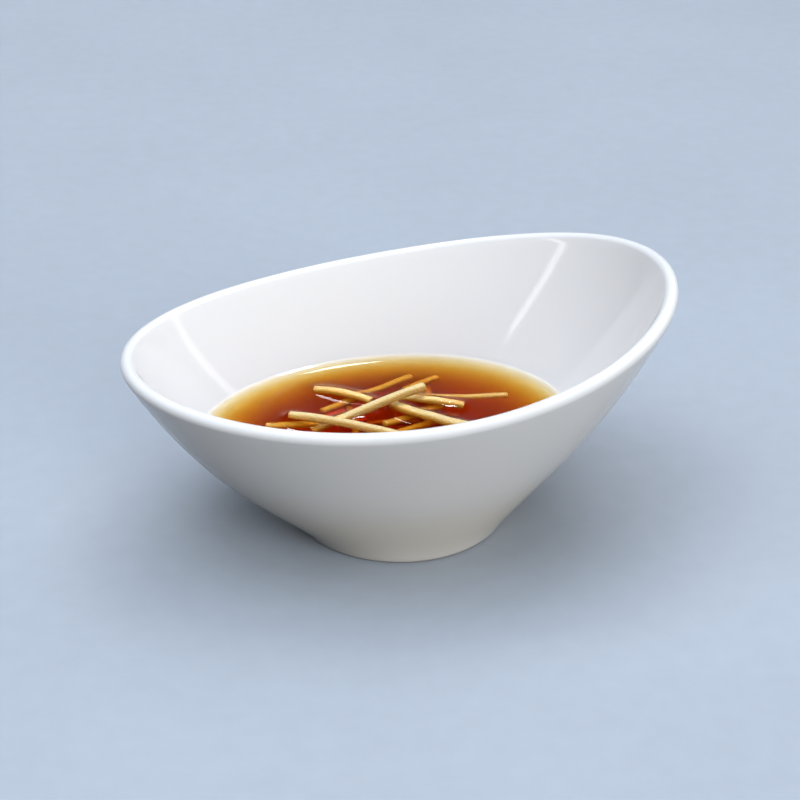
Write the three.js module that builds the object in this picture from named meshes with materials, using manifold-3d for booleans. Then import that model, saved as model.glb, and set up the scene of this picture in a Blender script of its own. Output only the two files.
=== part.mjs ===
// A porcelain dipping bowl with one raised end, filled a third of the way with sauce, in which
// thin strips of root vegetable lie heaped. The bowl is one fired piece from foot ring to lip.
// Millimetres, +Z up, the raised end toward +X, the origin on the table under the foot's centre.

import * as THREE from "three";
import { mergeVertices } from "three/addons/utils/BufferGeometryUtils.js";
import Module from "manifold-3d";

const wasm = await Module();
wasm.setup();

// Outer edge of the wall just under its round lip: how long and wide it is, how high it stands
// at either end and at the sides, how much lower its shoulders beside the raised end are than
// an even sweep (those beside the low end are as much higher), and how far forward it is widest
const edgeLength = 130;
const edgeWidth = 94;
const highEdge = 58.2;
const lowEdge = 43.95;
const sideEdge = 45.1;
const shoulderDrop = 0.42;
const widestForward = 4.75;
const wall = 3.3;

// Foot ring and the recess that it stands around
const footRadius = 25.5;
const footRingWidth = 3.6;
const footEdge = 0.9;
const recessDepth = 2.6;
const recessFillet = 1.6;

// Sweep of the outer wall, as shares of its travel outward and of its height: one handle at the
// foot, and one under the lip that differs between the two ends and the sides
const footHandleOut = 0.137;
const footHandleUp = 0.172;
const lowEndHandleOut = 0.533;
const lowEndHandleUp = 0.233;
const sideHandleOut = 0.435;
const sideHandleUp = 0.397;
const highEndHandleOut = 0.673;
const highEndHandleUp = 0.416;

// Inside: a nearly flat floor that turns up into the wall
const floorTop = 6.8;
const floorBendAt = 0.42;
const floorBendTightness = 0.88;
const floorFlatShare = 0.55;

// Contents: the sauce, the strips in it and how far their heap reaches from the bowl's middle
const sauceLevel = 23;
const sauceClearance = 0.32;
const stripThickness = 2.4;
const stripCorner = 0.7;
const stripClearance = 0.35;
const heapReach = 30;

// Facets
const stepsAround = 64;
const wallSteps = 11;
const lipSteps = 6;
const innerSteps = 7;
const floorSteps = 5;
const stripSteps = 7;

const TAU = 2 * Math.PI;
const up = new THREE.Vector3(0, 0, 1);

// The edge is an egg in plan, and in height a tilt with a slight saddle. The shoulders' drop has
// its full size where sin²(t) cos(t) peaks, 55 degrees from either end.
const forwardShare = widestForward / (edgeLength / 2);
const eggShare = forwardShare / (1 - 2 * forwardShare ** 2);
const endsMean = (highEdge + lowEdge) / 2;
const edgeMean = (endsMean + sideEdge) / 2;
const edgeTilt = (highEdge - lowEdge) / 2;
const edgeSaddle = (endsMean - sideEdge) / 2;
const shoulderPeak = 2 / Math.sqrt(27);

// The wall's outer edge in the direction of angle t.
function edgePoint(t) {
  const along = (edgeLength / 2) * Math.cos(t);
  const across = (edgeWidth / 2) * Math.sin(t) * (1 + eggShare * Math.cos(t));
  const even = edgeMean + edgeTilt * Math.cos(t) + edgeSaddle * Math.cos(2 * t);
  const drop = (shoulderDrop / shoulderPeak) * Math.sin(t) ** 2 * Math.cos(t);
  return new THREE.Vector3(along, across, even - drop);
}

// Height of a cubic curve from 0 to 1 whose two handles stand at first and second.
function easing(u, first, second) {
  const v = 1 - u;
  return 3 * v * v * u * first + 3 * v * u * u * second + u ** 3;
}

// A size that has its own value at the low end, at the sides and at the raised end.
function blendAround(t, lowEnd, side, highEnd) {
  const ends = THREE.MathUtils.lerp(lowEnd, highEnd, (1 + Math.cos(t)) / 2);
  return ends + (side - (lowEnd + highEnd) / 2) * Math.sin(t) ** 2;
}

// Point of the outer wall, from the foot at u = 0 to the lip at u = 1.
function wallPoint(t, u) {
  const foot = new THREE.Vector3(footRadius * Math.cos(t), footRadius * Math.sin(t), 0);
  const edge = edgePoint(t);
  const handleOut = blendAround(t, lowEndHandleOut, sideHandleOut, highEndHandleOut);
  const handleUp = blendAround(t, lowEndHandleUp, sideHandleUp, highEndHandleUp);
  const out = easing(u, footHandleOut, handleOut);
  const rise = easing(u, footHandleUp, handleUp);
  return new THREE.Vector3(
    THREE.MathUtils.lerp(foot.x, edge.x, out),
    THREE.MathUtils.lerp(foot.y, edge.y, out),
    edge.z * rise,
  );
}

function wallUpward(t, u) {
  const step = 1e-4;
  return wallPoint(t, u + step).sub(wallPoint(t, u - step)).normalize();
}

function wallNormal(t, u) {
  const step = 1e-4;
  const around = wallPoint(t + step, u).sub(wallPoint(t - step, u));
  return around.cross(wallUpward(t, u)).normalize();
}

// Point of the inner wall, or of a surface that stays a little inside it.
function innerWallPoint(t, u, inset) {
  return wallPoint(t, u).addScaledVector(wallNormal(t, u), -(wall + inset));
}

// The inner surface in the direction t, from beside the floor's middle up the wall to topU.
function innerSection(t, inset, topU, steps) {
  const centre = new THREE.Vector3(0, 0, floorTop + inset);
  const bend = innerWallPoint(t, floorBendAt, inset);
  const below = innerWallPoint(t, floorBendAt - 1e-3, inset);
  const down = below.sub(bend).normalize();
  const reach = (floorBendTightness * (bend.z - centre.z)) / -down.z;
  const turn = bend.clone().addScaledVector(down, reach);
  const level = new THREE.Vector3(bend.x, bend.y, centre.z).lerp(centre, 1 - floorFlatShare);
  const floor = new THREE.CubicBezierCurve3(centre, level, turn, bend);
  const points = [];
  for (let i = 1; i <= floorSteps; i++) points.push(floor.getPoint(i / floorSteps));
  for (let i = 1; i <= steps; i++) {
    points.push(innerWallPoint(t, THREE.MathUtils.lerp(floorBendAt, topU, i / steps), inset));
  }
  return points;
}

// Where the inner surface, kept inset from the wall, reaches a height.
function wallShareAt(t, height, inset) {
  let low = floorBendAt;
  let high = 1;
  for (let i = 0; i < 40; i++) {
    const middle = (low + high) / 2;
    if (innerWallPoint(t, middle, inset).z < height) low = middle;
    else high = middle;
  }
  return low;
}

// Closed skin through rings of equal count, with a point at either end.
function loft(rings, firstPole, lastPole) {
  const count = rings[0].length;
  const points = [firstPole, ...rings.flat(), lastPole];
  const faces = [];
  const last = points.length - 1;
  for (let i = 0; i < count; i++) {
    const next = (i + 1) % count;
    faces.push(0, 1 + next, 1 + i);
    const top = 1 + (rings.length - 1) * count;
    faces.push(last, top + i, top + next);
    for (let j = 0; j < rings.length - 1; j++) {
      const a = 1 + j * count;
      const b = a + count;
      faces.push(a + i, b + next, b + i);
      faces.push(a + i, a + next, b + next);
    }
  }
  const geometry = new THREE.BufferGeometry().setFromPoints(points);
  geometry.setIndex(faces);
  geometry.computeVertexNormals();
  return geometry;
}

function ringsFrom(sections) {
  return sections[0].map((_, j) => sections.map((section) => section[j]));
}

function sectionsAround(section) {
  return Array.from({ length: stepsAround }, (_, i) => section((TAU * i) / stepsAround));
}

// Underside in the direction t, from beside the middle of the recess out to the foot's edge.
function undersideSection(t) {
  const direction = new THREE.Vector3(Math.cos(t), Math.sin(t), 0);
  const at = (radius, height) => direction.clone().multiplyScalar(radius).setZ(height);
  const innerRadius = footRadius - footRingWidth;
  const points = [at(innerRadius / 2, recessDepth), at(innerRadius - recessFillet, recessDepth)];
  points.push(at(innerRadius - recessFillet / 3, recessDepth - recessFillet / 3));
  points.push(at(innerRadius, footEdge));
  points.push(at(innerRadius + footEdge, 0));
  points.push(at(footRadius - footEdge, 0));
  return points;
}

// The foot's outer edge is worn round: a small curve from the flat ring into the wall.
function footEdgeSection(t, wallStart) {
  const direction = new THREE.Vector3(Math.cos(t), Math.sin(t), 0);
  const onRing = direction.clone().multiplyScalar(footRadius - footEdge);
  const corner = direction.clone().multiplyScalar(footRadius);
  const edge = new THREE.QuadraticBezierCurve3(onRing, corner, wallPoint(t, wallStart));
  return [edge.getPoint(0.35), edge.getPoint(0.7)];
}

// Half round over the top of the wall, from its outer face to its inner face.
function lipSection(t) {
  const outward = wallNormal(t, 1);
  const upward = wallUpward(t, 1);
  const centre = wallPoint(t, 1).addScaledVector(outward, -wall / 2);
  const points = [];
  for (let i = 1; i < lipSteps; i++) {
    const angle = (Math.PI * i) / lipSteps;
    const point = centre.clone().addScaledVector(outward, (wall / 2) * Math.cos(angle));
    points.push(point.addScaledVector(upward, (wall / 2) * Math.sin(angle)));
  }
  return points;
}

function bowlSection(t) {
  const wallStart = 0.05;
  const outer = [];
  for (let i = 0; i <= wallSteps; i++) {
    outer.push(wallPoint(t, THREE.MathUtils.lerp(wallStart, 1, i / wallSteps)));
  }
  const inner = innerSection(t, 0, 1, innerSteps).reverse();
  return [
    ...undersideSection(t),
    ...footEdgeSection(t, wallStart),
    ...outer,
    ...lipSection(t),
    ...inner,
  ];
}

function bowlGeometry() {
  const rings = ringsFrom(sectionsAround(bowlSection));
  const recessCentre = new THREE.Vector3(0, 0, recessDepth);
  return loft(rings, recessCentre, new THREE.Vector3(0, 0, floorTop));
}

// The heap, from the bowl's floor up. Each end is its place in plan as shares of the heap's reach
// and the layer it lies in, counted from the floor. bow lifts the middle of a strip and bend
// pushes it sideways, in strip thicknesses. Hand-cut strips differ in thickness by their size.
const layerPitch = stripThickness + stripClearance;
const heap = [
  { from: [-0.43, -0.23, 0.28], to: [0.47, -0.13, 0.3], bow: -0.2, bend: 0.33, size: 1 },
  { from: [-0.47, 0.2, 0.3], to: [0.43, 0.3, 0.3], bow: -0.2, bend: -0.5, size: 1 },
  { from: [-0.3, -0.47, 1.2], to: [-0.2, 0.5, 1.17], bow: 0, bend: 0.4, size: 1 },
  { from: [0.2, -0.43, 1.18], to: [0.3, 0.53, 1.22], bow: 0, bend: -0.35, size: 1 },
  { from: [-0.53, -0.07, 2.2], to: [0.43, -0.2, 2.16], bow: 0.05, bend: -0.4, size: 1 },
  { from: [-0.43, 0.37, 2.19], to: [0.53, 0.27, 2.17], bow: 0.03, bend: 0.4, size: 1 },
  { from: [-0.4, -0.37, 3.22], to: [-0.33, 0.6, 3.32], bow: 0.1, bend: 0.25, size: 1 },
  { from: [0.2, -0.2, 3.22], to: [0.37, 0.8, 3.21], bow: 0, bend: 0.1, size: 1 },
  { from: [-1.054, 0.208, 4.69], to: [-0.639, 0.19, 4.49], bow: 0.06, bend: 0, size: 1 },
  { from: [-0.57, 0.386, 4.45], to: [0.25, 0.87, 4.37], bow: -0.09, bend: -0.08, size: 1 },
  { from: [-0.116, 0.081, 4.67], to: [0.415, 0.315, 4.33], bow: -0.3, bend: 0, size: 1 },
  { from: [0.106, 0.48, 4.65], to: [0.965, 0.362, 4.91], bow: 0.04, bend: 0.23, size: 0.95 },
  { from: [-0.585, 0.712, 5.16], to: [-0.168, 0.399, 5.43], bow: 0.1, bend: -0.27, size: 0.97 },
  { from: [0.065, 0.399, 5.42], to: [0.563, 0.22, 5.17], bow: 0.19, bend: 0, size: 1 },
  { from: [-0.005, 0.307, 5.3], to: [0.711, -0.317, 5.5], bow: 0.26, bend: 0.53, size: 1.12 },
  { from: [-0.696, 0.086, 4.66], to: [0.261, 0.355, 6.78], bow: 0.44, bend: 0.29, size: 1 },
  { from: [-0.85, 0.254, 5.68], to: [-0.013, -0.369, 6.31], bow: 0.36, bend: 0.12, size: 0.93 },
  { from: [0.156, 0.65, 4.21], to: [0.465, 0.815, 4.32], bow: 0, bend: -0.06, size: 1 },
  { from: [-0.142, -0.083, 4.19], to: [0.345, 0.098, 4.21], bow: 0.02, bend: 0, size: 1 },
];

function heapPoint([along, across, layer]) {
  const bottom = floorTop + stripClearance + stripThickness / 2;
  return new THREE.Vector3(heapReach * along, heapReach * across, bottom + layer * layerPitch);
}

function stripPath({ from, to, bow, bend }) {
  const start = heapPoint(from);
  const end = heapPoint(to);
  const aside = end.clone().sub(start).cross(up).normalize();
  const middle = start.clone().lerp(end, 0.5);
  middle.addScaledVector(up, 2 * bow * stripThickness);
  middle.addScaledVector(aside, 2 * bend * stripThickness);
  return new THREE.QuadraticBezierCurve3(start, middle, end);
}

// Square section with its corners taken off, as the skin of one cut end.
function stripRing(centre, forward, halfSide) {
  const aside = forward.clone().cross(up).normalize();
  const upward = aside.clone().cross(forward).normalize();
  const cut = halfSide - stripCorner;
  const corners = [
    [cut, -halfSide],
    [-cut, -halfSide],
    [-halfSide, -cut],
    [-halfSide, cut],
    [-cut, halfSide],
    [cut, halfSide],
    [halfSide, cut],
    [halfSide, -cut],
  ];
  return corners.map(([across, high]) =>
    centre.clone().addScaledVector(aside, across).addScaledVector(upward, high),
  );
}

// One strip, or with a margin the pocket that it leaves in the sauce.
function stripGeometry(place, margin) {
  const path = stripPath(place);
  const side = stripThickness * place.size;
  const rings = [];
  for (let i = 0; i <= stripSteps; i++) {
    const centre = path.getPoint(i / stripSteps);
    const forward = path.getTangent(i / stripSteps);
    if (i === 0) centre.addScaledVector(forward, -margin);
    if (i === stripSteps) centre.addScaledVector(forward, margin);
    rings.push(stripRing(centre, forward, side / 2 + margin));
  }
  const middleOf = (ring) =>
    ring.reduce((sum, point) => sum.add(point), new THREE.Vector3()).divideScalar(ring.length);
  return loft(rings, middleOf(rings[0]), middleOf(rings.at(-1)));
}

function solidOf(geometry) {
  const bare = geometry.clone();
  bare.deleteAttribute("normal");
  const merged = mergeVertices(bare, 1e-4);
  const mesh = new wasm.Mesh({
    numProp: 3,
    vertProperties: merged.attributes.position.array,
    triVerts: new Uint32Array(merged.index.array),
  });
  return new wasm.Manifold(mesh);
}

function geometryOf(solid) {
  const mesh = solid.getMesh();
  const geometry = new THREE.BufferGeometry();
  geometry.setAttribute("position", new THREE.BufferAttribute(mesh.vertProperties, 3));
  geometry.setIndex(new THREE.BufferAttribute(mesh.triVerts, 1));
  geometry.computeVertexNormals();
  return geometry;
}

// The sauce fills the bowl to its level, less the pockets of the strips. Drops that end up
// shut in between strips are left out, so that the sauce stays one body.
function sauceGeometry() {
  const sections = sectionsAround((t) => {
    const topU = wallShareAt(t, sauceLevel, sauceClearance);
    return innerSection(t, sauceClearance, topU, innerSteps - 2);
  });
  const floorCentre = new THREE.Vector3(0, 0, floorTop + sauceClearance);
  const surfaceCentre = new THREE.Vector3(0, 0, sauceLevel);
  let sauce = solidOf(loft(ringsFrom(sections), floorCentre, surfaceCentre));
  for (const place of heap) {
    sauce = sauce.subtract(solidOf(stripGeometry(place, sauceClearance)));
  }
  const pieces = sauce.decompose();
  pieces.sort((a, b) => b.volume() - a.volume());
  return geometryOf(pieces[0]);
}

const porcelain = new THREE.MeshStandardMaterial({ color: 0xeef0f2, roughness: 0.12, metalness: 0 });
const amberSauce = new THREE.MeshStandardMaterial({ color: 0x9c4f12, roughness: 0.08, metalness: 0 });
const paleRoot = new THREE.MeshStandardMaterial({ color: 0xd4b170, roughness: 0.45, metalness: 0 });

const filledBowl = new THREE.Group();

function addPiece(name, geometry, material) {
  const mesh = new THREE.Mesh(geometry, material);
  mesh.name = name;
  filledBowl.add(mesh);
}

addPiece("bowl", bowlGeometry(), porcelain);
addPiece("sauce", sauceGeometry(), amberSauce);
heap.forEach((place, index) => {
  const number = String(index + 1).padStart(2, "0");
  addPiece(`strip_${number}`, stripGeometry(place, 0), paleRoot);
});

export default filledBowl;
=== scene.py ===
# %% [markdown]
# # A porcelain dipping bowl with sauce and cut strips
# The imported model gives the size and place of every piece. This script dresses it: a fine
# glazed bowl, a clear amber sauce whose surface climbs the wall and the strips, and the
# strips themselves. Everything is in metres, with the raised end toward +X.

# %% Load the frame
import math

import bmesh
import bpy
import numpy as np
from mathutils import Matrix, Vector, noise


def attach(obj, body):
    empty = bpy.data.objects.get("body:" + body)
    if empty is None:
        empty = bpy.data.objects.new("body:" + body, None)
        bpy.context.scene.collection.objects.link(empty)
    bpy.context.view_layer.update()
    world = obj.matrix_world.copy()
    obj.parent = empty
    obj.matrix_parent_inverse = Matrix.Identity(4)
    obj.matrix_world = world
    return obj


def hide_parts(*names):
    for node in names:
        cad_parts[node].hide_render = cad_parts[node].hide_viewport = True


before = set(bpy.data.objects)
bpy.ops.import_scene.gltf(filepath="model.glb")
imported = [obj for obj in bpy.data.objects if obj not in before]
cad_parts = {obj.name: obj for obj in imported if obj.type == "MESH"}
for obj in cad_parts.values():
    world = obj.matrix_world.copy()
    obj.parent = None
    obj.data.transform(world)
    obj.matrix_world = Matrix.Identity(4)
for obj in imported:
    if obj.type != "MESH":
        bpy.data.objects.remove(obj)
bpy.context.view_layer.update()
MM = 0.001

# %% [markdown]
# ## The camera
# A camera with a long lens stands in front, a little to the left, and looks down at the bowl.
# A long lens keeps the far rim from shrinking, which is how table ware is mostly pictured.
# The place was worked out from the outline of the rim and the foot.

# %% Camera
LENS = 85
AIM = Vector((0, 0, 29.7 * MM))
CAMERA_DISTANCE = 450.4 * MM
CAMERA_ELEVATION = math.radians(28.68)
CAMERA_AZIMUTH = math.radians(-10.38)


def direction(azimuth, elevation):
    """Unit vector from the bowl: azimuth 0 is the front and grows toward +X."""
    level = math.cos(elevation)
    return Vector((math.sin(azimuth) * level, -math.cos(azimuth) * level, math.sin(elevation)))


def look_at(item, target):
    item.rotation_euler = (target - item.location).to_track_quat("-Z", "Y").to_euler()


camera = bpy.data.objects.new("camera", bpy.data.cameras.new("camera"))
camera.data.lens = LENS
camera.location = AIM + CAMERA_DISTANCE * direction(CAMERA_AZIMUTH, CAMERA_ELEVATION)
look_at(camera, AIM)
bpy.context.collection.objects.link(camera)
bpy.context.scene.camera = camera
print("camera at", camera.location)

# %% [markdown]
# ## Shader maths in Python
# A material is a net of nodes. Drawing it by hand is slow to read back, so two small classes
# write it as plain expressions: `Value` turns +, - and * into Math nodes, and `Paint.node`
# adds any other node from its type, its settings and what goes into its sockets.

# %% A number that varies over a surface


class Value:
    """The output socket of some node, which can be added, subtracted and multiplied."""

    def __init__(self, paint, socket):
        self.paint = paint
        self.socket = socket

    def math(self, operation, first, second):
        return self.paint.node("ShaderNodeMath", {0: first, 1: second}, operation=operation)

    def __add__(self, other):
        return self.math("ADD", self, other)

    def __radd__(self, other):
        return self.math("ADD", other, self)

    def __sub__(self, other):
        return self.math("SUBTRACT", self, other)

    def __rsub__(self, other):
        return self.math("SUBTRACT", other, self)

    def __mul__(self, other):
        return self.math("MULTIPLY", self, other)

    def __rmul__(self, other):
        return self.math("MULTIPLY", other, self)


# %% One material and its nodes


class Paint:
    """A material that is written node by node."""

    def __init__(self, name):
        self.material = bpy.data.materials.new(name)
        self.material.use_nodes = True
        self.tree = self.material.node_tree
        self.tree.nodes.clear()

    def node(self, kind, sockets=None, output=0, **settings):
        made = self.tree.nodes.new(kind)
        for name, value in settings.items():
            setattr(made, name, value)
        for name, value in (sockets or {}).items():
            if isinstance(value, Value):
                self.tree.links.new(value.socket, made.inputs[name])
            else:
                made.inputs[name].default_value = value
        return Value(self, made.outputs[output])

    def coordinates(self):
        return self.node("ShaderNodeTexCoord", output="Object")

    def along(self, axis):
        return self.node("ShaderNodeSeparateXYZ", {0: self.coordinates()}, output=axis)

    def noise(self, scale, detail=3.0, roughness=0.5, vector=None):
        """Soft noise from 0 to 1, with about scale bumps in each metre."""
        sockets = {"Scale": scale, "Detail": detail, "Roughness": roughness}
        sockets["Vector"] = vector or self.coordinates()
        return self.node("ShaderNodeTexNoise", sockets)

    def ramp(self, value, low, high):
        """0 below low and 1 above high, with a smooth rise between."""
        sockets = {"Value": value, "From Min": low, "From Max": high}
        return self.node("ShaderNodeMapRange", sockets, interpolation_type="SMOOTHSTEP")

    def mix(self, share, first, second):
        sockets = {0: share, 6: first, 7: second}
        return self.node("ShaderNodeMix", sockets, output=2, data_type="RGBA")

    def bump(self, height, strength, distance):
        sockets = {"Height": height, "Strength": strength, "Distance": distance}
        return self.node("ShaderNodeBump", sockets)

    def finish(self, surface, volume=None):
        output = self.tree.nodes.new("ShaderNodeOutputMaterial")
        self.tree.links.new(surface.socket, output.inputs["Surface"])
        if volume:
            self.tree.links.new(volume.socket, output.inputs["Volume"])
        print("material", self.material.name, "nodes", len(self.tree.nodes))
        return self.material


def principled(paint, **sockets):
    named = {name.replace("_", " "): value for name, value in sockets.items()}
    return paint.node("ShaderNodeBsdfPrincipled", named)


# %% [markdown]
# ## The shape of the bowl
# Seen from above the lip is an egg, seen from the side it rises to one end, and every upright
# cut through the wall is an S that starts steep at the foot and leans out. It could be modelled
# by eye on a few curves, but one formula says all of this exactly: for a direction t round the
# bowl and a share u from foot to lip it gives a point of the outer wall. The inner wall is the
# same point moved in by the wall's thickness along the surface's normal, so the wall is equally
# thick wherever it leans.

# %% Sizes of the bowl
EDGE_LENGTH = 130 * MM
EDGE_WIDTH = 94 * MM
HIGH_EDGE = 58.2 * MM
LOW_EDGE = 43.95 * MM
SIDE_EDGE = 45.1 * MM
SHOULDER_DROP = 0.42 * MM
WIDEST_FORWARD = 4.75 * MM
WALL = 3.3 * MM
FOOT_RADIUS = 25.5 * MM

forward_share = WIDEST_FORWARD / (EDGE_LENGTH / 2)
egg_share = forward_share / (1 - 2 * forward_share**2)
ends_mean = (HIGH_EDGE + LOW_EDGE) / 2
edge_mean = (ends_mean + SIDE_EDGE) / 2
edge_tilt = (HIGH_EDGE - LOW_EDGE) / 2
edge_saddle = (ends_mean - SIDE_EDGE) / 2
shoulder_peak = 2 / math.sqrt(27)


def mix(first, second, share):
    return first + (second - first) * share


def edge_point(t):
    along = EDGE_LENGTH / 2 * math.cos(t)
    across = EDGE_WIDTH / 2 * math.sin(t) * (1 + egg_share * math.cos(t))
    even = edge_mean + edge_tilt * math.cos(t) + edge_saddle * math.cos(2 * t)
    drop = SHOULDER_DROP / shoulder_peak * math.sin(t) ** 2 * math.cos(t)
    return Vector((along, across, even - drop))


print("raised end of the lip", [round(value, 4) for value in edge_point(0)])

# %% The wall's formula
FOOT_HANDLE = (0.137, 0.172)
LOW_END_HANDLE = (0.533, 0.233)
SIDE_HANDLE = (0.435, 0.397)
HIGH_END_HANDLE = (0.673, 0.416)
SLOPE_STEP = 1e-4


def easing(u, first, second):
    """A cubic curve from 0 to 1 with its two handles at first and second."""
    v = 1 - u
    return 3 * v * v * u * first + 3 * v * u * u * second + u**3


def blend_around(t, low_end, side, high_end):
    """A size with its own value at the low end, at the sides and at the raised end."""
    ends = mix(low_end, high_end, (1 + math.cos(t)) / 2)
    return ends + (side - (low_end + high_end) / 2) * math.sin(t) ** 2


def wall_point(t, u):
    edge = edge_point(t)
    handles = zip(LOW_END_HANDLE, SIDE_HANDLE, HIGH_END_HANDLE)
    handle = [blend_around(t, *three) for three in handles]
    out = easing(u, FOOT_HANDLE[0], handle[0])
    rise = easing(u, FOOT_HANDLE[1], handle[1])
    x = mix(FOOT_RADIUS * math.cos(t), edge.x, out)
    y = mix(FOOT_RADIUS * math.sin(t), edge.y, out)
    return Vector((x, y, edge.z * rise))


def wall_upward(t, u):
    return (wall_point(t, u + SLOPE_STEP) - wall_point(t, u - SLOPE_STEP)).normalized()


def wall_normal(t, u):
    around = wall_point(t + SLOPE_STEP, u) - wall_point(t - SLOPE_STEP, u)
    return around.cross(wall_upward(t, u)).normalized()


def inner_wall_point(t, u, inset=0.0):
    return wall_point(t, u) - (WALL + inset) * wall_normal(t, u)


print("upward in the wall at the raised end", wall_upward(0, 1))

# %% [markdown]
# ## One cut through the bowl
# A potter's drawing shows half a cut: the recess under the bowl, the foot ring, the wall, the
# round lip and the inside back to the middle. Straight lines with bevels would give these parts
# too, but in glaze each bend would show as an edge. So the next functions give the chain of
# points for any direction as curves that share their tangent where they meet.

# %% Bezier curves


def on_bezier(points, share):
    """Point of a Bezier curve with two, three or four handles."""
    row = list(points)
    while len(row) > 1:
        row = [a.lerp(b, share) for a, b in zip(row, row[1:])]
    return row[0]


def bezier(points, steps):
    """Points of a Bezier curve, without the first."""
    return [on_bezier(points, i / steps) for i in range(1, steps + 1)]


print("middle of a bend", on_bezier([Vector((0, 0)), Vector((1, 0)), Vector((1, 1))], 0.5))

# %% Recess and foot ring
FOOT_RING_WIDTH = 3.6 * MM
FOOT_EDGE = 0.9 * MM
RECESS_DEPTH = 2.6 * MM
RECESS_FILLET = 1.6 * MM
WALL_START = 0.05
RECESS_STEPS = 8
FILLET_STEPS = 6
RING_EDGE_STEPS = 5
RING_FACE_STEPS = 3
RING_TO_WALL_STEPS = 7


def foot_curve(t):
    outward = Vector((math.cos(t), math.sin(t), 0))

    def at(radius, height):
        return outward * radius + Vector((0, 0, height))

    inner = FOOT_RADIUS - FOOT_RING_WIDTH
    outer = FOOT_RADIUS - FOOT_EDGE
    points = [Vector((0, 0, RECESS_DEPTH))]
    bends = [
        (RECESS_STEPS, at(inner - RECESS_FILLET, RECESS_DEPTH)),
        (FILLET_STEPS, at(inner, RECESS_DEPTH), at(inner, FOOT_EDGE)),
        (RING_EDGE_STEPS, at(inner, 0), at(inner + FOOT_EDGE, 0)),
        (RING_FACE_STEPS, at(outer, 0)),
        (RING_TO_WALL_STEPS, at(FOOT_RADIUS, 0), wall_point(t, WALL_START)),
    ]
    for steps, *handles in bends:
        points += bezier([points[-1], *handles], steps)
    return points


print("points in the foot", len(foot_curve(0)))

# %% Wall, lip and floor
FLOOR_TOP = 6.8 * MM
FLOOR_BEND_AT = 0.42
FLOOR_BEND_TIGHTNESS = 0.88
FLOOR_FLAT_SHARE = 0.55
FLOOR_SLOPE_STEP = 1e-3
OUTER_STEPS = 56
LIP_STEPS = 18
INNER_STEPS = 44
FLOOR_STEPS = 16


def floor_point(t, inset, share):
    """Point of the floor's curve, from the middle at 0 to the foot of the wall at 1."""
    centre = Vector((0, 0, FLOOR_TOP + inset))
    bend = inner_wall_point(t, FLOOR_BEND_AT, inset)
    down = (inner_wall_point(t, FLOOR_BEND_AT - FLOOR_SLOPE_STEP, inset) - bend).normalized()
    turn = bend + down * FLOOR_BEND_TIGHTNESS * (bend.z - centre.z) / -down.z
    level = Vector((bend.x, bend.y, centre.z)).lerp(centre, 1 - FLOOR_FLAT_SHARE)
    return on_bezier([centre, level, turn, bend], share)


def lip_curve(t):
    outward = wall_normal(t, 1) * WALL / 2
    upward = wall_upward(t, 1) * WALL / 2
    centre = wall_point(t, 1) - outward
    turns = [math.pi * i / LIP_STEPS for i in range(1, LIP_STEPS)]
    return [centre + outward * math.cos(turn) + upward * math.sin(turn) for turn in turns]


def bowl_chain(t):
    """All points of one cut, from the middle of the recess to the middle of the floor."""
    chain = foot_curve(t)
    for i in range(1, OUTER_STEPS + 1):
        chain.append(wall_point(t, mix(WALL_START, 1, i / OUTER_STEPS)))
    chain += lip_curve(t)
    for i in range(INNER_STEPS + 1):
        chain.append(inner_wall_point(t, mix(1, FLOOR_BEND_AT, i / INNER_STEPS)))
    return chain + [floor_point(t, 0, i / FLOOR_STEPS) for i in range(FLOOR_STEPS - 1, -1, -1)]


print("points in one cut", len(bowl_chain(0)))

# %% [markdown]
# ## Turning the bowl
# The bowl could be lofted through many cuts, or carved with a subdivision cage. Here it is
# thrown first and pressed oval after, as a potter would: the chain is spun about the upright
# axis into a round bowl, and each point then moves to its place in the cut of its direction.

# %% Making a piece from a bmesh


def shade_smooth(mesh):
    mesh.polygons.foreach_set("use_smooth", [True] * len(mesh.polygons))


def new_piece(name, bm, material_slot, *nodes):
    """Makes bm a piece that rides on the body and stands for CAD nodes."""
    mesh = bpy.data.meshes.new(name)
    bm.to_mesh(mesh)
    bm.free()
    shade_smooth(mesh)
    piece = bpy.data.objects.new(name, mesh)
    bpy.context.collection.objects.link(piece)
    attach(piece, "root")
    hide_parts(*nodes)
    print(name, "faces", len(mesh.polygons))
    return piece


# %% Spin the bowl and press it oval
AROUND = 256
SPIN_MERGE = 1e-7


def spun_bowl():
    bm = bmesh.new()
    rank = bm.verts.layers.int.new("rank")
    chain = [bm.verts.new(point) for point in bowl_chain(0)]
    for i, vertex in enumerate(chain):
        vertex[rank] = i
    edges = [bm.edges.new(pair) for pair in zip(chain, chain[1:])]
    bmesh.ops.spin(
        bm,
        geom=chain + edges,
        cent=(0, 0, 0),
        axis=(0, 0, 1),
        angle=math.tau,
        steps=AROUND,
        use_merge=True,
    )
    bmesh.ops.remove_doubles(bm, verts=bm.verts, dist=SPIN_MERGE)
    cuts = [bowl_chain(math.tau * i / AROUND) for i in range(AROUND)]
    for vertex in bm.verts:
        turn = math.atan2(vertex.co.y, vertex.co.x) / math.tau
        vertex.co = cuts[round(turn * AROUND) % AROUND][vertex[rank]]
    bmesh.ops.recalc_face_normals(bm, faces=bm.faces)
    return bm


bowl = new_piece("glazed_bowl", spun_bowl(), "porcelain", "bowl")

# %% [markdown]
# ## The strips
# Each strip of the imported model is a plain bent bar. A section swept along a curve would do for
# a finer one, but its ends would be flat and its sides without fibres, so it is cut from a cube.
# The cube gets its long edges rounded and its ends crowned, is cut into short lengths, is
# roughened a little as a knife and the root's fibres leave it, and is bent along a middle line.
# That line is read back from the bar's own points, so the strip lies exactly where the bar does.

# %% Middle lines of the strips
STRIP_NAMES = sorted(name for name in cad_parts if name.startswith("strip_"))
BAR_CORNER = 0.7 * MM
RING_POINTS = 8
SAME_POINT = 0.01 * MM


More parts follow.
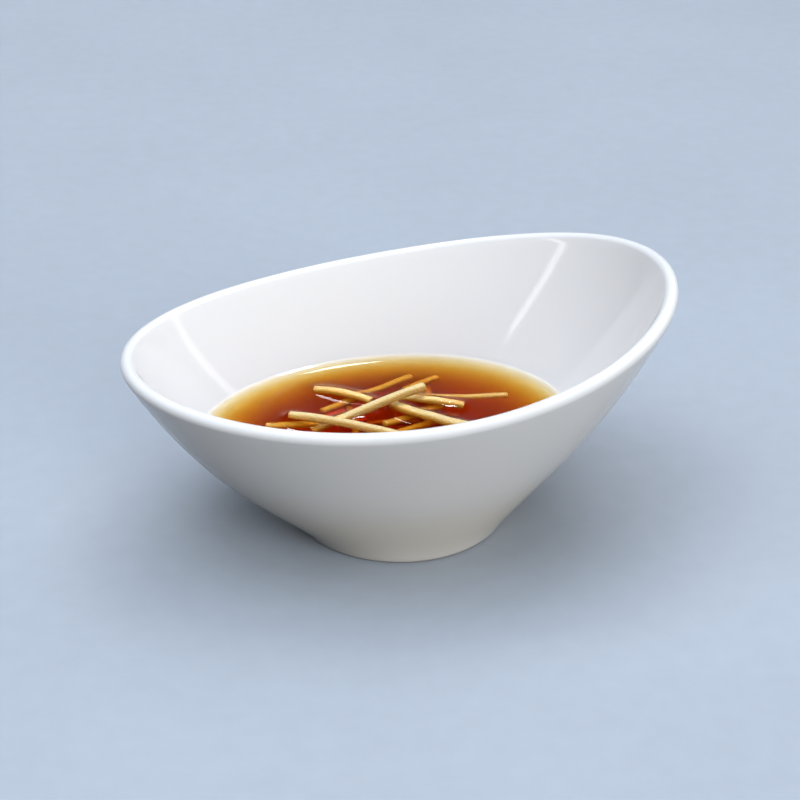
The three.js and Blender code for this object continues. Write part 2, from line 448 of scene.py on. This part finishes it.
def middle_line(node):
    """The middles of a bar's rings, and the side of its square section."""
    bm = bmesh.new()
    bm.from_mesh(node.data)
    bmesh.ops.remove_doubles(bm, verts=bm.verts, dist=SAME_POINT)
    points = [vertex.co.copy() for vertex in bm.verts]
    bm.free()
    start = max(points, key=lambda point: (point - points[0]).length)
    end = max(points, key=lambda point: (point - start).length)
    along = (end - start).normalized()
    points.sort(key=lambda point: (point - start).dot(along))
    count = (len(points) - 2) // RING_POINTS
    inner = points[1:-1]
    line = []
    for i in range(count):
        ring = inner[i * RING_POINTS : (i + 1) * RING_POINTS]
        line.append(sum(ring, Vector()) / RING_POINTS)
    radius = (ring[0] - line[-1]).length
    side = BAR_CORNER + math.sqrt(2 * radius**2 - BAR_CORNER**2)
    return line, side


bars = {name: middle_line(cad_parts[name]) for name in STRIP_NAMES}
print("strips", len(bars), "sides", sorted({round(side / MM, 2) for line, side in bars.values()}))

# %% Places on a middle line


def on_line(line, share):
    """Point and direction at a share of a line, smooth through its points."""
    place = min(max(share, 0.0), 1.0) * (len(line) - 1)
    i = min(int(place), len(line) - 2)
    f = place - i
    before = line[max(i - 1, 0)]
    after = line[min(i + 2, len(line) - 1)]
    first = (line[i + 1] - before) / 2 if i else line[1] - line[0]
    last = (after - line[i]) / 2 if i < len(line) - 2 else line[-1] - line[-2]
    a, b = line[i], line[i + 1]
    point = (
        a * (2 * f**3 - 3 * f**2 + 1)
        + first * (f**3 - 2 * f**2 + f)
        + b * (3 * f**2 - 2 * f**3)
        + last * (f**3 - f**2)
    )
    slope = (
        a * (6 * f**2 - 6 * f)
        + first * (3 * f**2 - 4 * f + 1)
        + b * (6 * f - 6 * f**2)
        + last * (3 * f**2 - 2 * f)
    )
    return point, slope.normalized()


print("middle of the first strip", on_line(bars[STRIP_NAMES[0]][0], 0.5)[0])

# %% A straight strip
STRIP_CUTS = 40
STRIP_ROUNDING = 0.85 * MM
ROUNDING_SEGMENTS = 5
END_EDGE = 0.2 * MM
END_CROWN = 0.12 * MM
FACES_THE_END = 0.9


def lengthwise_edges(bm, side):
    return [edge for edge in bm.edges if abs((edge.verts[0].co - edge.verts[1].co).x) > side]


def straight_strip(length, side):
    bm = bmesh.new()
    bmesh.ops.create_cube(bm, size=1)
    bmesh.ops.scale(bm, vec=(length, side, side), verts=bm.verts)
    bmesh.ops.bevel(
        bm,
        geom=lengthwise_edges(bm, side),
        offset=STRIP_ROUNDING,
        segments=ROUNDING_SEGMENTS,
        profile=0.5,
        affect="EDGES",
        material=-1,
    )
    for face in [face for face in bm.faces if abs(face.normal.x) > FACES_THE_END]:
        bmesh.ops.inset_region(bm, faces=[face], thickness=END_EDGE, depth=END_CROWN)
    long_edges = lengthwise_edges(bm, side)
    bmesh.ops.subdivide_edges(bm, edges=long_edges, cuts=STRIP_CUTS, use_grid_fill=True)
    return bm


# %% Fibres and the bend
FIBRE_DEPTH = 0.09 * MM
FIBRES_PER_MM = 1.6
FIBRE_BENDS = 3
WANDER = 0.12 * MM
WANDER_BENDS = 5
SEED_STEP = 7.3
UPWARD_SEED = Vector((0, 9, 0))


def cut_strip(name, line, side):
    length = sum((b - a).length for a, b in zip(line, line[1:]))
    seed = Vector((SEED_STEP * int(name[-2:]), 0, 0))
    bm = straight_strip(length, side)
    uv = bm.loops.layers.uv.new("grain")
    for face in bm.faces:
        for loop in face.loops:
            co = loop.vert.co
            loop[uv].uv = (co.x / length + 0.5, math.atan2(co.z, co.y) / math.tau)
    for vertex in bm.verts:
        x, y, z = vertex.co
        share = x / length + 0.5
        point, forward = on_line(line, share)
        aside = forward.cross(Vector((0, 0, 1))).normalized()
        upward = aside.cross(forward)
        section = Vector((share * FIBRE_BENDS, y / MM * FIBRES_PER_MM, z / MM * FIBRES_PER_MM))
        size = 1 + FIBRE_DEPTH / side * 2 * noise.noise(section + seed)
        sway = Vector((share * WANDER_BENDS, 0, 0)) + seed
        shift_aside = WANDER * noise.noise(sway)
        shift_up = WANDER * noise.noise(sway + UPWARD_SEED)
        beyond = forward * (x - min(max(x, -length / 2), length / 2))
        across = aside * (y * size + shift_aside)
        vertex.co = point + beyond + across + upward * (z * size + shift_up)
    bmesh.ops.recalc_face_normals(bm, faces=bm.faces)
    return bm


strips = []
for name, (line, side) in bars.items():
    strips.append(new_piece("root_" + name, cut_strip(name, line, side), "root_strip", name))

# %% [markdown]
# ## The sauce
# Still liquid is flat in the middle, but it wets what it touches and climbs it a little, and that
# curved edge is what catches the light. A disc with a curled rim would do at the wall, but not
# between the strips, where lifted edges flow together. So the height is found as a stretched skin
# finds it: on a net in plan, each cell takes the mean of its neighbours, pulled back to the level
# a little, while cells at the wall and at strips that break the surface are held up. A lifted
# edge dies away over some 3 mm.

# %% Where the liquid meets the wall
SAUCE_LEVEL = 23 * MM
WALL_RISE = 1.8 * MM
INTO_WALL = 0.15 * MM
OUTLINE_STEPS = 360
HALVINGS = 30


def wall_share_at(t, height, inset):
    low, high = FLOOR_BEND_AT, 1.0
    for _ in range(HALVINGS):
        middle = (low + high) / 2
        if inner_wall_point(t, middle, inset).z < height:
            low = middle
        else:
            high = middle
    return low


turns = np.linspace(0, math.tau, OUTLINE_STEPS + 1)
shares = [wall_share_at(t, SAUCE_LEVEL + WALL_RISE, -INTO_WALL) for t in turns]
rim_points = np.array([inner_wall_point(t, u, -INTO_WALL) for t, u in zip(turns, shares)])


def contact(t):
    """Where the liquid meets the wall in a direction, and the wall's share there."""
    t = t % math.tau
    x, y, u = (np.interp(t, turns, row) for row in (rim_points[:, 0], rim_points[:, 1], shares))
    return Vector((x, y)), u


print("liquid reaches from", rim_points[:, 0].min(), "to", rim_points[:, 0].max())

# %% Cells that are held up
STRIP_RISE = 1.6 * MM
HIGHEST_UNDERSIDE = 0.5 * STRIP_RISE
FILM = 0.08 * MM
CELL = 0.2 * MM
NET_MARGIN = 4 * CELL
LINE_STEPS = 120

low_corner = rim_points.min(axis=0) - NET_MARGIN
high_corner = rim_points.max(axis=0) + NET_MARGIN
net_x = np.arange(low_corner[0], high_corner[0], CELL)
net_y = np.arange(low_corner[1], high_corner[1], CELL)


def cover(inside):
    """How far a cell is covered by an edge that lies inside away from it."""
    return np.clip(inside / CELL + 0.5, 0, 1)


def held_cells():
    """How firmly each cell is held, and the height over the level that it is held at."""
    x, y = np.meshgrid(net_x, net_y)
    rim_turn = np.unwrap(np.arctan2(rim_points[:-1, 1], rim_points[:-1, 0]))
    rim_radius = np.hypot(rim_points[:-1, 0], rim_points[:-1, 1])
    edge = np.interp(np.arctan2(y, x), rim_turn, rim_radius, period=math.tau)
    firm = cover(np.hypot(x, y) - edge)
    height = np.where(firm > 0, WALL_RISE, 0.0)
    for line, side in bars.values():
        for i in range(LINE_STEPS + 1):
            px, py, pz = on_line(line, i / LINE_STEPS)[0]
            top = pz + side / 2 - SAUCE_LEVEL
            if top + FILM < 0 or top - side > HIGHEST_UNDERSIDE:
                continue
            share = cover(side / 2 - np.hypot(x - px, y - py))
            firm = np.maximum(firm, share)
            lifted = np.maximum(height, min(top + FILM, STRIP_RISE))
            height = np.where(share > 0, lifted, height)
    return firm, height


print("cells in the net", len(net_x), "x", len(net_y))

# %% The liquid's height
CAPILLARY = 3 * MM
ROUNDS = 500


def relaxed_net():
    firm, height = held_cells()
    net = firm * height
    spread = 4 + (CELL / CAPILLARY) ** 2
    for _ in range(ROUNDS):
        near = net[:-2, 1:-1] + net[2:, 1:-1] + net[1:-1, :-2] + net[1:-1, 2:]
        free = near / spread
        net[1:-1, 1:-1] = mix(free, height[1:-1, 1:-1], firm[1:-1, 1:-1])
    return net


net = relaxed_net()


def liquid_heights(places):
    """Heights of the surface at places in plan, read between the cells of the net."""
    column = (places[:, 0] - net_x[0]) / CELL
    row = (places[:, 1] - net_y[0]) / CELL
    i, j = column.astype(int), row.astype(int)
    f, g = column - i, row - j
    near = mix(net[j, i], net[j, i + 1], f)
    far = mix(net[j + 1, i], net[j + 1, i + 1], f)
    return SAUCE_LEVEL + mix(near, far, g)


print("highest meniscus", net.max() / MM, "mm over the level")

# %% [markdown]
# ## The body under the surface
# The sauce needs a closed body, because its colour comes from the depth that light passes. The
# surface could be a fan of triangles from the middle, but they would be thin as needles there.
# Here a square grid is pressed out to the oval, which keeps its cells even, and its rim is
# extruded down the wall and in along the floor.

# %% The sauce's body
SAUCE_GRID = 260
DEPTH_STEPS = 12
MIDDLE = 1e-6


def square_turn(x, y):
    """The direction that a point of a square grid takes on the bowl."""
    if abs(x) >= abs(y):
        return math.pi / 4 * y / x + (math.pi if x < 0 else 0)
    return math.pi / 2 * (1 if y > 0 else -1) - math.pi / 4 * x / y


def sauce_surface(bm, turn):
    bmesh.ops.create_grid(bm, x_segments=SAUCE_GRID, y_segments=SAUCE_GRID, size=1)
    for vertex in bm.verts:
        radius = max(abs(vertex.co.x), abs(vertex.co.y))
        t = square_turn(vertex.co.x, vertex.co.y) if radius > MIDDLE else 0.0
        edge = contact(t)[0]
        vertex[turn] = t
        vertex.co = (edge.x * radius, edge.y * radius, SAUCE_LEVEL)
    heights = liquid_heights(np.array([vertex.co.xy for vertex in bm.verts]))
    for vertex, height in zip(bm.verts, heights):
        vertex.co.z = height


def sauce_body():
    bm = bmesh.new()
    turn = bm.verts.layers.float.new("turn")
    sauce_surface(bm, turn)
    edges = [edge for edge in bm.edges if edge.is_boundary]
    for step in range(1, DEPTH_STEPS + 1):
        share = step / DEPTH_STEPS
        grown = bmesh.ops.extrude_edge_only(bm, edges=edges)["geom"]
        edges = [item for item in grown if isinstance(item, bmesh.types.BMEdge)]
        for vertex in {vertex for edge in edges for vertex in edge.verts}:
            t = vertex[turn]
            if share < 0.5:
                u = mix(contact(t)[1], FLOOR_BEND_AT, share * 2)
                vertex.co = inner_wall_point(t, u, -INTO_WALL)
            else:
                vertex.co = floor_point(t, -INTO_WALL, (1 - share) * 2)
    last_ring = [vertex for vertex in bm.verts if vertex.is_boundary]
    bmesh.ops.remove_doubles(bm, verts=last_ring, dist=SAME_POINT)
    bmesh.ops.recalc_face_normals(bm, faces=bm.faces)
    return bm


sauce = new_piece("sauce_body", sauce_body(), "sauce", "sauce")

# %% [markdown]
# ## Porcelain
# Glazed porcelain is a white body under a layer of glass. One even white shader could stand for
# it, but glaze is never dead flat, so the mirror images wobble a little. Toward the foot the wall
# is painted warmer and darker, most in a band just above it: this is painted shade on the lower
# wall, which faces the floor. The ring that the bowl stands on is wiped clean before firing, so
# it is dull.

# %% Porcelain material
THICK_GLAZE = (0.87, 0.872, 0.87, 1)
# Painted shade: the wall is warmer and darker toward the foot, and darker still in a band above
# it.
PAINTED_FOOT_SHADE = (0.85, 0.81, 0.73, 1)
PAINTED_BAND_SHADE = (0.765, 0.725, 0.64, 1)
BARE_BODY = (0.62, 0.57, 0.50, 1)
BARE_END = (0.25 * MM, 0.6 * MM)
FOOT_SHADE_END = (2 * MM, 18 * MM)
SHADE_BAND_START = (0, 8 * MM)
SHADE_BAND_END = (10 * MM, 27 * MM)
SHADE_BAND_WANDER = 4 * MM
WANDER_SCALE = 60
GLAZE_ROUGHNESS = 0.06
BARE_ROUGHNESS = 0.5
SMEAR_ROUGHNESS = 0.03
SMEAR_SCALE = 90
RIPPLE_SCALE = 55
RIPPLE_HEIGHT = 0.4 * MM


def porcelain_material():
    paint = Paint("glazed_porcelain")
    height = paint.along("Z")
    bare = 1 - paint.ramp(height, *BARE_END)
    # Painted shade on the lower wall: a warm tint toward the foot and a darker band just above
    # it.
    drift = height + SHADE_BAND_WANDER * (paint.noise(WANDER_SCALE) - 0.5)
    shade_band = paint.ramp(drift, *SHADE_BAND_START) * (1 - paint.ramp(drift, *SHADE_BAND_END))
    foot_shade = 1 - paint.ramp(drift, *FOOT_SHADE_END)
    even = paint.mix(foot_shade * 0.7, THICK_GLAZE, PAINTED_FOOT_SHADE)
    glaze = paint.mix(shade_band * 0.8, even, PAINTED_BAND_SHADE)
    colour = paint.mix(bare * 0.8, glaze, BARE_BODY)
    smears = SMEAR_ROUGHNESS * paint.noise(SMEAR_SCALE)
    roughness = GLAZE_ROUGHNESS + BARE_ROUGHNESS * bare + smears
    ripple = paint.noise(RIPPLE_SCALE, detail=2)
    normal = paint.bump(ripple, 0.1, RIPPLE_HEIGHT)
    surface = principled(
        paint,
        Base_Color=colour,
        Roughness=roughness,
        IOR=1.5,
        Normal=normal,
    )
    return paint.finish(surface)


bowl.data.materials.append(porcelain_material())

# %% [markdown]
# ## Sauce
# The colour of a clear liquid comes from its depth: the rim is pale amber and the middle is deep
# red. A surface colour can't do that, so the body absorbs light per metre of its way, blue most
# and red least. Lamps shine through the surface by a switch on shadow rays, which stands in for
# the bright patterns that real liquid throws and that take very long to compute. Food is mostly
# pictured through a polarising filter. It takes the mirror image off a liquid where the view is
# neither steep nor grazing, so there the glassy shader is mixed with one that only bends light.

# %% Sauce material
ABSORPTION = 430.0
ABSORPTION_COLOUR = (0.925, 0.73, 0.02, 1)
LIQUID_IOR = 1.35
LIQUID_ROUGHNESS = 0.02
FILTERED_SHARE = 0.75
PAST_STEEP = (0.03, 0.05)
NEAR_GRAZING = (0.09, 0.3)


def sauce_material():
    paint = Paint("amber_sauce")
    liquid = principled(
        paint,
        Base_Color=(1, 1, 1, 1),
        Roughness=LIQUID_ROUGHNESS,
        IOR=LIQUID_IOR,
        Transmission_Weight=1.0,
    )
    bending = {"Roughness": LIQUID_ROUGHNESS, "IOR": LIQUID_IOR}
    bent = paint.node("ShaderNodeBsdfRefraction", bending)
    mirrored = paint.node("ShaderNodeFresnel", {"IOR": LIQUID_IOR})
    middling = paint.ramp(mirrored, *PAST_STEEP) * (1 - paint.ramp(mirrored, *NEAR_GRAZING))
    sockets = {0: FILTERED_SHARE * middling, 1: liquid, 2: bent}
    filtered = paint.node("ShaderNodeMixShader", sockets)
    clear = paint.node("ShaderNodeBsdfTransparent")
    shadow = paint.node("ShaderNodeLightPath", output="Is Shadow Ray")
    surface = paint.node("ShaderNodeMixShader", {0: shadow, 1: filtered, 2: clear})
    depth = {"Color": ABSORPTION_COLOUR, "Density": ABSORPTION}
    return paint.finish(surface, paint.node("ShaderNodeVolumeAbsorption", depth))


sauce.data.materials.append(sauce_material())

# %% [markdown]
# ## Root
# The strips are pale and a little see-through, with fibres along their length and tiny pits.
# A picture of a root could be wrapped round them, but noise needs no file and stays sharp close
# by. The fibres follow each strip, so the pattern is read from the strip's own unwrapping and is
# stretched lengthwise. Its other direction runs round the strip, with the top at a quarter turn.
# The sides and underside are painted browner than the top: painted shade where they face away
# from the lamps above, together with sauce that stays on them. What lies in the sauce is soaked
# through. A thin coat is the wet film.

# %% Root material
DARK_FLESH = (0.86, 0.63, 0.26, 1)
PALE_FLESH = (0.95, 0.78, 0.43, 1)
PIT_BROWN = (0.62, 0.40, 0.12, 1)
# Painted shade on the sides and underside, together with sauce that stays on them.
SIDE_SHADE_AND_SAUCE = (0.62, 0.34, 0.04, 1)
SOAKED_BROWN = (0.52, 0.28, 0.05, 1)
FIBRE_STRETCH = (6, 30, 1)
PIT_SCALE = 2000
PIT_EDGE = (0.4, 0.62)
PIT_DEPTH = 0.12 * MM
PATCH_SCALE = 500
TOP_TURN = 0.25
SIDE_SHADE_EDGE = (0.08, 0.2)
SIDE_SHADE_WANDER = 0.06
SOAKED_END = (SAUCE_LEVEL - 0.3 * MM, SAUCE_LEVEL + 2 * MM)
SOAKED_WANDER = 1.2 * MM


def root_material():
    paint = Paint("wet_root")
    grain = paint.node("ShaderNodeUVMap", uv_map="grain")
    stretched = paint.node("ShaderNodeMapping", {"Vector": grain, "Scale": FIBRE_STRETCH})
    fibres = paint.noise(1.0, detail=4, vector=stretched)
    pits = paint.ramp(paint.noise(PIT_SCALE, detail=2), *PIT_EDGE)
    patches = paint.noise(PATCH_SCALE, detail=2)
    flesh = paint.mix(fibres, DARK_FLESH, PALE_FLESH)
    dry = paint.mix(0.7 + 0.3 * pits, PIT_BROWN, flesh)
    round_turn = paint.node("ShaderNodeSeparateXYZ", {0: grain}, output="Y")
    off_top = paint.node("ShaderNodeMath", {0: round_turn - TOP_TURN}, operation="ABSOLUTE")
    # Sides and underside browner than the top: painted shade, with sauce that stays on them.
    side_shade_and_sauce = paint.ramp(off_top + SIDE_SHADE_WANDER * (patches - 0.5), *SIDE_SHADE_EDGE)
    height = paint.along("Z") + SOAKED_WANDER * (patches - 0.5)
    soaked = 1 - paint.ramp(height, *SOAKED_END)
    tinted = paint.mix(side_shade_and_sauce * 0.8, dry, SIDE_SHADE_AND_SAUCE)
    colour = paint.mix(soaked * 0.75, tinted, SOAKED_BROWN)
    normal = paint.bump(0.4 * fibres + pits, 0.8, PIT_DEPTH)
    surface = principled(
        paint,
        Base_Color=colour,
        Roughness=0.3 + 0.2 * pits,
        Subsurface_Weight=0.25,
        Subsurface_Scale=0.6 * MM,
        Coat_Weight=0.4,
        Coat_Roughness=0.12,
        Coat_IOR=1.35,
        Normal=normal,
    )
    return paint.finish(surface)


root = root_material()
for strip in strips:
    strip.data.materials.append(root)

# %% [markdown]
# ## Floor and light
# A pale blue-grey floor and soft white lamps. A picture of a studio round the bowl could light
# it too, but lamps can be set one by one. Glaze mirrors whatever stands round it, so even light
# and highlights are made apart. Six wide lamps light the bowl and are kept out of its mirror
# images. Two narrow strip lamps, one at either side, draw the long highlights inside the bowl,
# and three small windows light nothing and only show as bright marks on the glaze and the sauce.
# The floor looks pale, but to light that bounces off it it is dark, so the outside of the bowl
# keeps its shade.

# %% Floor
FLOOR_REACH = 4
FLOOR_DARK_PATCH = (0.38, 0.42, 0.48, 1)
FLOOR_PALE_PATCH = (0.475, 0.53, 0.60, 1)
FLOOR_FOR_BOUNCED_LIGHT = (0.12, 0.12, 0.12, 1)
CLOUD_SCALE = 9
SPECK_SCALE = 170
WEAVE_SCALE = 140
WEAVE_HEIGHT = 1 * MM


def floor_material():
    paint = Paint("floor")
    clouds = paint.noise(CLOUD_SCALE, detail=6, roughness=0.6)
    mottled = 0.6 * clouds + 0.4 * paint.noise(SPECK_SCALE, detail=4)
    seen = paint.mix(mottled, FLOOR_DARK_PATCH, FLOOR_PALE_PATCH)
    rays = ("Is Camera Ray", "Is Glossy Ray", "Is Transmission Ray")
    looking, mirrored, through = (paint.node("ShaderNodeLightPath", output=ray) for ray in rays)
    colour = paint.mix(looking + mirrored + through, FLOOR_FOR_BOUNCED_LIGHT, seen)
    normal = paint.bump(paint.noise(WEAVE_SCALE, detail=5), 0.15, WEAVE_HEIGHT)
    surface = principled(
        paint,
        Base_Color=colour,
        Roughness=0.6,
        Specular_IOR_Level=0.25,
        Normal=normal,
    )
    return paint.finish(surface)


def floor_plane():
    bm = bmesh.new()
    bmesh.ops.create_grid(bm, x_segments=1, y_segments=1, size=FLOOR_REACH)
    mesh = bpy.data.meshes.new("floor")
    bm.to_mesh(mesh)
    bm.free()
    mesh.materials.append(floor_material())
    floor = bpy.data.objects.new("floor", mesh)
    bpy.context.collection.objects.link(floor)


floor_plane()

# %% Lamp helpers
FILL_DISTANCE = 3
WINDOW_DISTANCE = 1.6


def lamp(name, azimuth, elevation, distance, size, strength, colour=(1, 1, 1)):
    """A rectangular lamp facing the bowl. strength is its brightness as white is 1."""
    data = bpy.data.lights.new(name, "AREA")
    data.shape = "RECTANGLE"
    data.size, data.size_y = size
    data.energy = strength * math.pi * size[0] * size[1]
    data.color = colour
    item = bpy.data.objects.new(name, data)
    item.location = AIM + distance * direction(math.radians(azimuth), math.radians(elevation))
    look_at(item, AIM)
    bpy.context.collection.objects.link(item)
    return item


def fill(name, azimuth, elevation, size, strength, colour):
    """A wide lamp that lights the bowl and shows in no mirror image."""
    item = lamp(name, azimuth, elevation, FILL_DISTANCE, size, strength, colour)
    item.visible_glossy = False


def window(name, azimuth, elevation, size, strength):
    """A small lamp that lights nothing and shows as a highlight."""
    item = lamp(name, azimuth, elevation, WINDOW_DISTANCE, size, strength)
    item.visible_diffuse = False


def strip_lamp(name, start, end, width, strength):
    """A narrow lamp between two directions, each an azimuth and an elevation in degrees."""
    places = (direction(*map(math.radians, place)) for place in (start, end))
    first, last = (WINDOW_DISTANCE * place for place in places)
    item = lamp(name, 0, 0, WINDOW_DISTANCE, (width, (last - first).length), strength)
    outward = (first + last).normalized()
    along = (last - first).normalized()
    aside = along.cross(outward)
    item.location = AIM + (first + last) / 2
    item.rotation_euler = Matrix((aside, along, outward)).transposed().to_euler()


# %% Lamps
WORLD_COLOUR = (0.92, 0.96, 1.0, 1)
WORLD_STRENGTH = 0.02

fill("overhead", 0, 89.9, size=(3.2, 3.2), strength=2.05, colour=(0.9, 0.99, 1.13))
fill("left_high", -90, 60, size=(2.1, 2.1), strength=1.75, colour=(0.92, 1.0, 1.1))
fill("back_high", 150, 60, size=(2.1, 2.1), strength=2.0, colour=(1.0, 1.0, 1.03))
fill("front", 6, 35, size=(2.1, 2.1), strength=2.4, colour=(0.99, 1.0, 1.0))
fill("low_right", 34, 11, size=(2.2, 1.6), strength=3.6, colour=(0.99, 1.0, 1.01))
fill("low_back", 195, 12, size=(2.4, 1.6), strength=0.8, colour=(0.97, 1.0, 1.05))
window("back_window", 157, 60, size=(0.14, 0.17), strength=30)
window("far_window", 181, 43, size=(0.1, 0.12), strength=22)
window("high_window", 118, 66, size=(0.17, 0.2), strength=30)
strip_lamp("right_strip", (91, 13), (80, 32), width=0.12, strength=2.2)
strip_lamp("left_strip", (-77, 18), (-62, 30), width=0.055, strength=5)

world = bpy.data.worlds.new("studio")
bpy.context.scene.world = world
world.use_nodes = True
world.node_tree.nodes["Background"].inputs["Color"].default_value = WORLD_COLOUR
world.node_tree.nodes["Background"].inputs["Strength"].default_value = WORLD_STRENGTH
bpy.context.scene.view_settings.view_transform = "Standard"
print("lamps", [light.name for light in bpy.data.lights])
